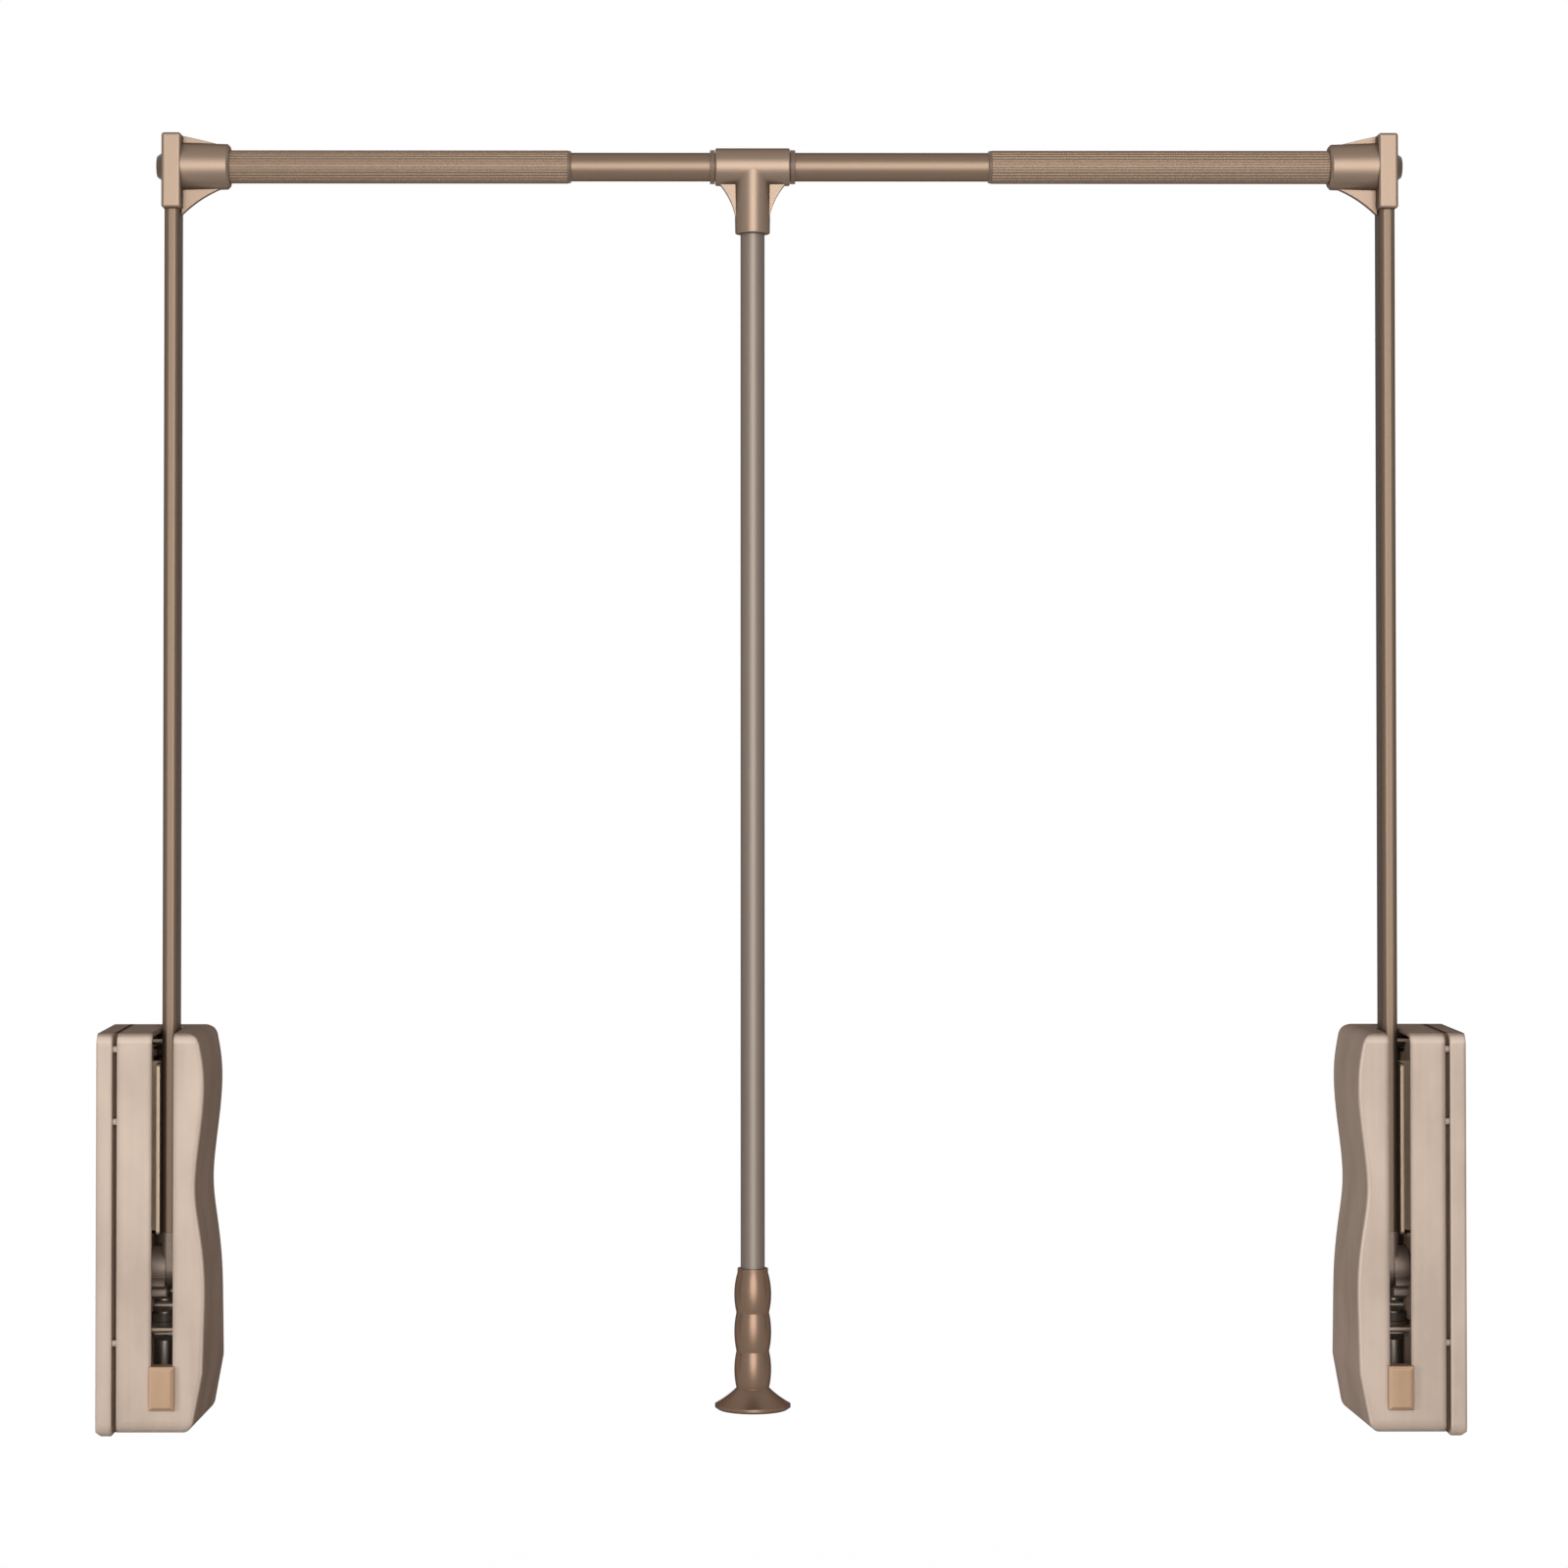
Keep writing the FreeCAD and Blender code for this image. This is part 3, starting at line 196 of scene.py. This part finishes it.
def grained_finish(name, colour, tones, per_metre, detail, stretch=even):
    """A finish whose colour runs between two tones along a grain."""
    finish, tree, shader = new_finish(name)
    grain = noise_of(tree, per_metre, detail, stretch)
    dark, pale = (shade(colour, tone) for tone in tones)
    tree.links.new(ramp_of(tree, grain, dark, pale), shader.inputs["Base Color"])
    return finish, tree, shader, grain


worn_tones = (0.85, 1.12)
worn_detail = 4
worn_depth = 0.01 * mm
polish = 0.06
wear = 0.08
ground_z = (1, 1, 0.05)


def plain_metal(name, colour, roughness, per_metre, stretch=even, metallic=1.0):
    finish, tree, shader, grain = grained_finish(name, colour, worn_tones, per_metre, worn_detail, stretch)
    gloss = range_of(tree, grain, roughness - polish, roughness + wear)
    tree.links.new(gloss, shader.inputs["Roughness"])
    shader.inputs["Metallic"].default_value = metallic
    relief(tree, shader, grain, worn_depth)
    return finish


metal_recipes = {
    "bronze_bolt": dict(colour=(0.10, 0.070, 0.050), roughness=0.36, per_metre=500, metallic=0.6),
    "zinc_steel": dict(colour=(0.62, 0.47, 0.35), roughness=0.5, per_metre=160, metallic=0.5),
    "bright_steel": dict(colour=(0.42, 0.37, 0.32), roughness=0.42, per_metre=900, stretch=ground_z),
    "spring_steel": dict(colour=(0.16, 0.15, 0.14), roughness=0.34, per_metre=900),
    "cast_foot": dict(colour=(0.22, 0.165, 0.13), roughness=0.45, per_metre=1400, metallic=0.5),
}
plain_metals = {name: plain_metal(name, **recipe) for name, recipe in metal_recipes.items()}
print("plain metals:", ", ".join(plain_metals))

# %% [markdown]
# ### Mouldings
# Guides, bushes and plugs are dark nylon, the rail's collars and liners are bronze plastic, and the rack rod
# lands on rubber. They could share the metals' recipe, but a moulding has one gloss all over, from its mould,
# so only the colour and the relief follow the grain.

# %% Mouldings
mould_tones = (0.9, 1.15)
mould_detail = 3
mould_sheen = 0.35
skin_depth = 0.02 * mm
rubber_depth = 0.03 * mm


def moulding(name, colour, roughness, per_metre, depth):
    finish, tree, shader, grain = grained_finish(name, colour, mould_tones, per_metre, mould_detail)
    shader.inputs["Roughness"].default_value = roughness
    shader.inputs["Specular IOR Level"].default_value = mould_sheen
    relief(tree, shader, grain, depth)
    return finish


mould_recipes = {
    "bronze_plastic": dict(colour=(0.15, 0.10, 0.072), roughness=0.42, per_metre=800, depth=skin_depth),
    "black_nylon": dict(colour=(0.085, 0.060, 0.044), roughness=0.45, per_metre=1200, depth=skin_depth),
    "buffer_rubber": dict(colour=(0.014, 0.014, 0.014), roughness=0.7, per_metre=1500, depth=rubber_depth),
}
mouldings = {name: moulding(name, **recipe) for name, recipe in mould_recipes.items()}
print("mouldings:", ", ".join(mouldings))

# %% [markdown]
# ### Champagne metal
# Tubes, arms, castings and the grip have a thin coat, from champagne to bronze. A fully metallic shader would
# mirror the white studio, so a share of each stays dull. The grain of arms, plain tubes and guide strips
# is drawn out along them, and that of fluted tubes, castings and the grip is even.
# Towards grazing angles the coat turns brown, which the specular tint gives.

# %% Champagne metal
light_champagne = (0.243, 0.178, 0.133)
bronze = (0.196, 0.140, 0.101)
pale_bronze = shade(bronze, 1.08)
deep_bronze = shade(bronze, 0.72)
rod_grey = (0.212, 0.176, 0.148)
# The guide strip's gold coat, made about twice as bright as the castings' to paint light into the shade of
# its slot
strip_gold_and_light = (0.52, 0.40, 0.29)
grip_copper = (0.19, 0.125, 0.087)
brown_edge = (0.12, 0.05, 0.03, 1)
coat_tones = (0.97, 1.03)
coat_grain_per_m = 1400
coat_detail = 2
coat_spread = 0.02
coat_depth = 0.0005 * mm
metal_share = 0.75
dull_sheen = 0.3


def champagne_metal(name, colour, stretch, roughness):
    finish, tree, shader, grain = grained_finish(
        name, colour, coat_tones, coat_grain_per_m, coat_detail, stretch
    )
    gloss = range_of(tree, grain, roughness - coat_spread, roughness + coat_spread)
    tree.links.new(gloss, shader.inputs["Roughness"])
    shader.inputs["Metallic"].default_value = metal_share
    shader.inputs["Specular IOR Level"].default_value = dull_sheen
    shader.inputs["Specular Tint"].default_value = brown_edge
    relief(tree, shader, grain, coat_depth)
    return finish


coat_recipes = {
    "champagne_rail": dict(colour=bronze, stretch=along_x, roughness=0.42),
    "champagne_flutes": dict(colour=pale_bronze, stretch=even, roughness=0.42),
    "champagne_arm": dict(colour=deep_bronze, stretch=along_z, roughness=0.40),
    "champagne_rod": dict(colour=rod_grey, stretch=along_z, roughness=0.50),
    "guide_strip": dict(colour=strip_gold_and_light, stretch=along_z, roughness=0.40),
    "champagne_casting": dict(colour=light_champagne, stretch=even, roughness=0.42),
    "champagne_grip": dict(colour=grip_copper, stretch=even, roughness=0.35),
}
coated_metals = {name: champagne_metal(name, **recipe) for name, recipe in coat_recipes.items()}
print("coated metals:", ", ".join(coated_metals))

# %% [markdown]
# ### Painted edge highlights
# A highlight is painted on the housings' rounded edges around the front, where light from the front and above
# would catch them. A mask could be painted by hand, but the surface's own direction finds these edges: there
# it leans away from the front, though not as far as on the sides, and it doesn't face down. A Mix node then
# goes over to a paler colour by that mask, which is the painted highlight.

# %% Painted edge highlights
rim_rise = (0.5, 0.75)
rim_fall = (0.99, 0.93)
rim_upper = (-0.3, 0.1)


def math_of(tree, operation, first, second):
    """Joins two values, each a number or a socket."""
    node = add_node(tree, "ShaderNodeMath", operation=operation)
    for socket, value in zip(node.inputs, (first, second)):
        if isinstance(value, (int, float)):
            socket.default_value = value
        else:
            tree.links.new(value, socket)
    return node.outputs["Value"]


def painted_edge_highlight(tree):
    """1 on the rounded edges around a front face, where the highlight is painted, and 0 elsewhere."""
    place = add_node(tree, "ShaderNodeTexCoord")
    axes = add_node(tree, "ShaderNodeSeparateXYZ")
    tree.links.new(place.outputs["Normal"], axes.inputs["Vector"])
    front = math_of(tree, "MULTIPLY", axes.outputs["Y"], -1)
    rise = range_of(tree, front, 0, 1, *rim_rise)
    fall = range_of(tree, front, 0, 1, *rim_fall)
    upper = range_of(tree, axes.outputs["Z"], 0, 1, *rim_upper)
    return math_of(tree, "MULTIPLY", math_of(tree, "MULTIPLY", rise, fall), upper)


def blend_of(tree, share, first, second):
    """Goes from one colour to another by a share between 0 and 1."""
    blend = add_node(tree, "ShaderNodeMix", data_type="RGBA")
    tree.links.new(share, blend.inputs["Factor"])
    tree.links.new(first, blend.inputs["A"])
    blend.inputs["B"].default_value = (*second, 1)
    return blend.outputs["Result"]


# Angles between which the edge highlight is painted at full strength
rim_angles = [round(math.degrees(math.acos(lean))) for lean in (rim_fall[1], rim_rise[1])]
print("fully rubbed where the surface leans back by", rim_angles, "degrees")

# %% [markdown]
# ### Champagne paint
# The housings are mouldings with a satin metallic paint: cloudy patches and faint streaks from spraying,
# fine flakes, and a soft orange-peel relief. One noise alone would give patches without streaks, so two
# patterns are added up, and the sum runs between two tones. The flakes change the gloss only.

# %% Champagne paint
champagne = (0.492, 0.404, 0.338)
tan = (0.44, 0.30, 0.20)
drawn_z = (1, 1, 0.6)
cloud_per_m = 27
cloud_detail = 5
cloud_share = 0.82
streaks_per_m = 260
flakes_per_m = 2600
fine_detail = 2
peel_per_m = 900
peel_detail = 1
peel_depth = 0.02 * mm
thin_coat = 0.88
thick_coat = 1.07
# How much paler the painted edge highlight is than the paint
edge_highlight_tone = 1.4
flake_gloss = (0.28, 0.36)
flake_share = 0.1
cover_edge_r = 5 * mm
stop_edge_r = 1 * mm
plate_edge_r = 3 * mm


def champagne_paint(name, colour, edge_r):
    finish, tree, shader = new_finish(name)
    cloud = noise_of(tree, cloud_per_m, cloud_detail, drawn_z)
    streaks = noise_of(tree, streaks_per_m, fine_detail, along_z)
    cloud_part = math_of(tree, "MULTIPLY", cloud, cloud_share)
    streak_part = math_of(tree, "MULTIPLY", streaks, 1 - cloud_share)
    coat = math_of(tree, "ADD", cloud_part, streak_part)
    tones = ramp_of(tree, coat, shade(colour, thin_coat), shade(colour, thick_coat), start=0.36, stop=0.64)
    # Paints a highlight on the rounded edges around the front
    tones = blend_of(tree, painted_edge_highlight(tree), tones, shade(colour, edge_highlight_tone))
    tree.links.new(tones, shader.inputs["Base Color"])
    flakes = noise_of(tree, flakes_per_m, fine_detail)
    tree.links.new(range_of(tree, flakes, *flake_gloss), shader.inputs["Roughness"])
    shader.inputs["Metallic"].default_value = flake_share
    shader.inputs["Specular IOR Level"].default_value = 0
    shader.inputs["Specular Tint"].default_value = brown_edge
    relief(tree, shader, noise_of(tree, peel_per_m, peel_detail), peel_depth, edge_r)
    return finish


paint_recipes = {
    "champagne_paint": dict(colour=champagne, edge_r=cover_edge_r),
    "stop_paint": dict(colour=tan, edge_r=stop_edge_r),
    "plate_paint": dict(colour=champagne, edge_r=plate_edge_r),
}
paints = {name: champagne_paint(name, **recipe) for name, recipe in paint_recipes.items()}
print("paints:", ", ".join(paints))

# %% [markdown]
# ### The groove between plate and cover
# The land behind the groove lies in shade, so a painted shade darkens it, and only three nibs across it keep
# the paint's own colour. A second material would need faces of its own, so the plate's paint changes colour
# by
# place instead: it turns to the painted shade a little way in from the front, but only beyond the plate's own
# thickness, which is measured from the nearer wall.

# %% Painted shade in the groove
wall_to_wall = cad_box[1].x - cad_box[0].x
plate_low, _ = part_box("left_mounting_plate")
groove_x = 10.4 * mm
groove_setback = 3 * mm
groove_y = plate_low.y + groove_setback
# Painted shade for the groove's recess
groove_painted_shade = (0.12, 0.072, 0.05)

tree = paints["plate_paint"].node_tree
shader = tree.nodes["Principled BSDF"]
place = add_node(tree, "ShaderNodeTexCoord")
axes = add_node(tree, "ShaderNodeSeparateXYZ")
tree.links.new(place.outputs["Object"], axes.inputs["Vector"])
from_right = math_of(tree, "SUBTRACT", wall_to_wall, axes.outputs["X"])
from_wall = math_of(tree, "MINIMUM", axes.outputs["X"], from_right)
beyond_plate = math_of(tree, "GREATER_THAN", from_wall, groove_x)
behind_front = math_of(tree, "GREATER_THAN", axes.outputs["Y"], groove_y)
groove_shade_mask = math_of(tree, "MULTIPLY", beyond_plate, behind_front)
paint_colour = shader.inputs["Base Color"].links[0].from_socket
# The plate's paint turns to the painted shade inside the groove
tree.links.new(blend_of(tree, groove_shade_mask, paint_colour, groove_painted_shade), shader.inputs["Base Color"])
print("groove starts", round(groove_x / mm, 1), "mm from the wall")

# %% [markdown]
# ### A finish for every node
# Each node of the solid model names a material slot. Finishes could be given node by node, but the slot
# settles most of them. Some pieces have a finish of their own, because their grain runs another way
# or their tone differs from that of their slot.

# %% Hand out the finishes
slot_finishes = {
    "champagne_shell": paints["champagne_paint"],
    "champagne_metal": coated_metals["champagne_casting"],
    **plain_metals,
    **mouldings,
}
piece_finishes = {
    "outer_tube": coated_metals["champagne_flutes"],
    "inner_tube": coated_metals["champagne_rail"],
    "arm": coated_metals["champagne_arm"],
    "pull_rod": coated_metals["champagne_rod"],
    "grip": coated_metals["champagne_grip"],
    # The guide strip's finish carries painted light for the shade of the slot
    "arm_guide": coated_metals["guide_strip"],
    "stop_block": paints["stop_paint"],
    "mounting_plate": paints["plate_paint"],
}
for part in frame["record"]["subparts"]:
    piece = part["node"].removeprefix("left_").removeprefix("right_")
    finish = piece_finishes.get(piece, slot_finishes[part["material_slot"]])
    coats = nodes[part["node"]].data.materials
    coats.clear()
    coats.append(finish)
print("finishes by slot:", len(slot_finishes), "and by piece:", len(piece_finishes))

# %% [markdown]
# ## The lift springs
# Each housing hides a coil spring of steel wire. A screw modifier could make one, but all its turns would be
# alike. On a real spring the first and last turns are wound closer, so that it stands flat on its seats.
# So the height along the wire is worked out first: slow at both ends, and steady between them.

# %% Height along a spring
wire_r = 1.1 * mm
live_turns = 10
end_turns = 1
end_looseness = 1.15
end_rise = 2 * wire_r * end_looseness * end_turns


def spring_height(turn, height):
    if turn < end_turns:
        return end_rise * turn / end_turns
    if turn > end_turns + live_turns:
        return height - end_rise * (2 * end_turns + live_turns - turn) / end_turns
    return end_rise + (height - 2 * end_rise) * (turn - end_turns) / live_turns


print("an end turn rises", round(end_rise / end_turns / mm, 2), "mm")

# %% [markdown]
# ### Wind a spring
# The spring is wound as on a coiling machine. A disc as wide as the wire is pulled up a little and turned
# round the coil's axis, again and again, and each pull leaves a short length of wire behind.
# The two springs are wound in opposite directions, so the helper is given the hand.
# With no window the rotate operator turns the other way, hence the minus sign.

# %% Wind a spring
wire_sides = 12
steps_per_turn = 20
step_angle = 2 * math.pi / steps_per_turn
spring_steps = (live_turns + 2 * end_turns) * steps_per_turn


def wind_spring(name, centre, radius, bottom, height, hand):
    bpy.ops.object.select_all(action="DESELECT")
    bpy.ops.mesh.primitive_circle_add(
        vertices=wire_sides,
        radius=wire_r,
        fill_type="NGON",
        location=(centre.x + radius, centre.y, bottom),
        rotation=(math.pi / 2, 0, 0),
    )
    coil = bpy.context.object
    coil.name = name
    bpy.ops.object.transform_apply(location=True, rotation=True, scale=True)
    bpy.ops.object.mode_set(mode="EDIT")
    bpy.ops.mesh.select_all(action="SELECT")
    heights = [spring_height(step / steps_per_turn, height) for step in range(spring_steps + 1)]
    for lower, upper in zip(heights, heights[1:]):
        bpy.ops.mesh.extrude_region_move(TRANSFORM_OT_translate={"value": (0, 0, upper - lower)})
        bpy.ops.transform.rotate(
            value=-hand * step_angle,
            orient_axis="Z",
            center_override=(centre.x, centre.y, bottom),
        )
    bpy.ops.mesh.select_all(action="SELECT")
    bpy.ops.mesh.normals_make_consistent(inside=False)
    bpy.ops.object.mode_set(mode="OBJECT")
    bpy.ops.object.shade_smooth()
    return coil


print("steps along a spring:", spring_steps)

# %% [markdown]
# ### Seat the springs
# The solid model's spring gives the height and width of the coil, and the collar under it gives the axis.
# As the rail comes down, the toothed foot drives the rack up and the spring gets shorter. The coil is wound
# at the solid model's height and rides with its housing.

for side, hand in (("left", 1), ("right", -1)):
    low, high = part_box(side + "_lift_spring")
    seat_low, seat_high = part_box(side + "_spring_collar")
    centre = (seat_low + seat_high) / 2
    radius = (high.y - low.y) / 2 - wire_r
    height = high.z - low.z - 2 * wire_r
    coil = wind_spring(side + "_coil", centre, radius, low.z + wire_r, height, hand)
    coil.data.materials.append(plain_metals["spring_steel"])
    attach(coil, side + "_housing")
    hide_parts(side + "_lift_spring")
    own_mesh(coil)

# %% [markdown]
# ## Floor
# The rail hangs between two walls, so the floor lies well below it, under the lowest place that the grip
# reaches. A white floor would throw much light back up at the object. This one is white for the camera
# and in reflections only, and a dull brown for all other light. Close by, a little of the brown shows,
# which keeps a trace of the shadow, and some metres off it is plain white, so that no horizon shows.

# %% Lay the floor
middle_x = wall_to_wall / 2
floor_z = -1.42
floor_size = 30
floor_brown = (0.30, 0.24, 0.19, 1)
floor_roughness = 0.9
near_white = 0.98
far_white = 1
fade_start = 2
fade_end = 7


def white_for_camera(tree):
    """1 for the camera, in reflections and through glass, and 0 for all other light."""
    path = add_node(tree, "ShaderNodeLightPath").outputs
    seen = math_of(tree, "MAXIMUM", path["Is Camera Ray"], path["Is Glossy Ray"])
    return math_of(tree, "MAXIMUM", seen, path["Is Transmission Ray"])


bpy.ops.object.select_all(action="DESELECT")
bpy.ops.mesh.primitive_plane_add(size=floor_size, location=(middle_x, 0, floor_z))
floor = bpy.context.object
floor.name = "studio_floor"
floor_finish, tree, shader = new_finish("studio_floor")
shader.inputs["Base Color"].default_value = floor_brown
shader.inputs["Roughness"].default_value = floor_roughness
glow = add_node(tree, "ShaderNodeEmission")
mix = add_node(tree, "ShaderNodeMixShader")
place = add_node(tree, "ShaderNodeTexCoord")
reach = add_node(tree, "ShaderNodeVectorMath", operation="LENGTH")
tree.links.new(place.outputs["Object"], reach.inputs[0])
glow_share = range_of(tree, reach.outputs["Value"], near_white, far_white, fade_start, fade_end)
tree.links.new(math_of(tree, "MULTIPLY", white_for_camera(tree), glow_share), mix.inputs["Fac"])
tree.links.new(shader.outputs["BSDF"], mix.inputs[1])
tree.links.new(glow.outputs["Emission"], mix.inputs[2])
tree.links.new(mix.outputs["Shader"], tree.nodes["Material Output"].inputs["Surface"])
floor.data.materials.append(floor_finish)
print("floor height:", floor_z, "m")

# %% [markdown]
# ## Surroundings
# The world does the same as the floor: it is white for the camera and in reflections. A white world would
# also light the object from all sides and flatten it, so all other light from it is a weak, warm one,
# as from a room, which keeps the shaded sides brown.

# %% Set the surroundings
room_brown = (0.06, 0.024, 0.009, 1)
white = (1, 1, 1, 1)

world = bpy.context.scene.world or bpy.data.worlds.new("studio")
bpy.context.scene.world = world
world.use_nodes = True
tree = world.node_tree
room = tree.nodes["Background"]
room.inputs["Color"].default_value = room_brown
room.inputs["Strength"].default_value = 1.0
bright = add_node(tree, "ShaderNodeBackground")
bright.inputs["Color"].default_value = white
mix = add_node(tree, "ShaderNodeMixShader")
tree.links.new(white_for_camera(tree), mix.inputs["Fac"])
tree.links.new(room.outputs["Background"], mix.inputs[1])
tree.links.new(bright.outputs["Background"], mix.inputs[2])
tree.links.new(mix.outputs["Shader"], tree.nodes["World Output"].inputs["Surface"])
print("light of the room:", room_brown[:3])

# %% [markdown]
# ## Lamps
# Several small lamps would draw a stripe each on every tube. So one broad lamp stands in front, behind the
# camera, and gives a tube one soft band of light, and a small one above it gives rounded edges their shine.
# Two fills, from the left and from behind, open the shadows. They are left out of reflections,
# so that they draw no band of their own.

# %% Place the lamps
aim_z = 0.3
aim = Vector((middle_x, 0, aim_z))


def soft_lamp(name, place, size, power, reflected=True):
    lamp = bpy.data.lights.new(name, "AREA")
    lamp.shape = "DISK"
    lamp.size = size
    lamp.energy = power
    rig = bpy.data.objects.new(name, lamp)
    bpy.context.collection.objects.link(rig)
    rig.location = place
    rig.rotation_euler = (aim - Vector(place)).to_track_quat("-Z", "Y").to_euler()
    rig.visible_glossy = reflected
    print(name, "is", size, "m wide and has", power, "W")


soft_lamp("main_box", place=(0.6, -4.2, 0.6), size=3.1, power=126)
soft_lamp("high_shine", place=(0.85, -3.7, 2.3), size=0.9, power=20)
soft_lamp("side_fill", place=(-2.6, -2.2, 0.4), size=1.0, power=55, reflected=False)
soft_lamp("back_fill", place=(0.5, 4.2, 0.1), size=2.4, power=85, reflected=False)

# %% [markdown]
# ## Camera
# The camera stands some way in front, a little left of the middle and a little above half the height,
# with a long lens. It could be turned until the object is in the middle of the picture, but then the uprights
# would lean. They stay upright, because the camera is hardly turned and its lens is shifted instead.

# %% Place the camera
picture_px = 1600
lens_px = 4138
axis_px = (720, 650)
eye = (0.3847, -2.6865, 0.3348)
tilt = math.radians(91.112)
turn = math.radians(-0.238)

camera = bpy.data.cameras.new("camera")
camera.sensor_width = 36
camera.lens = lens_px / picture_px * camera.sensor_width
camera.shift_x = (picture_px / 2 - axis_px[0]) / picture_px
camera.shift_y = (axis_px[1] - picture_px / 2) / picture_px
camera.clip_end = 60
viewer = bpy.data.objects.new("camera", camera)
bpy.context.collection.objects.link(viewer)
viewer.location = eye
viewer.rotation_euler = (tilt, 0, turn)
bpy.context.scene.camera = viewer
print("lens:", round(camera.lens, 1), "mm")

# %% [markdown]
# ## Finish
# The dressed model has to stay inside the solid model's box, so the solid model's size is written down.

# %% Write the size of the solid model
print("solid model:", [round(c / mm, 1) for c in cad_box[1] - cad_box[0]], "mm")
